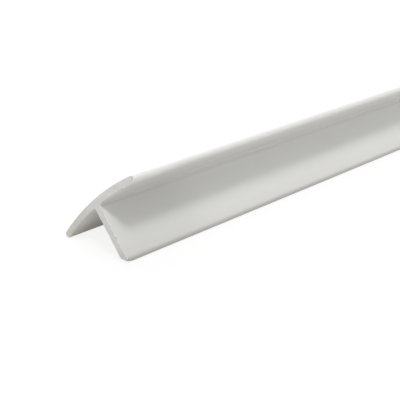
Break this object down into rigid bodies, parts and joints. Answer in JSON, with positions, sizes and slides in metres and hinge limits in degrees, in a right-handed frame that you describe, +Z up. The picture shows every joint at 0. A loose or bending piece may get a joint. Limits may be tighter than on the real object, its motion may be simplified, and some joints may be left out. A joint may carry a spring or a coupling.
{
  "type": "t-shaped screed strip",
  "caption": "Straight white PVC strip with a T-shaped section: an arched cap with rounded edges on a plain web that is set into a joint to divide and cover it.",
  "frame": {"origin": "on the floor that the strip lies on, under the middle of its box", "axes": "+Y along the strip, +Z up, +X towards the side where the foot of the web rests"},
  "size_m": [0.0192, 1, 0.0167],
  "materials": {
    "white_pvc": "satin"
  },
  "bodies": {
    "root": {"screed_strip": "white_pvc"}
  },
  "joints": []
}
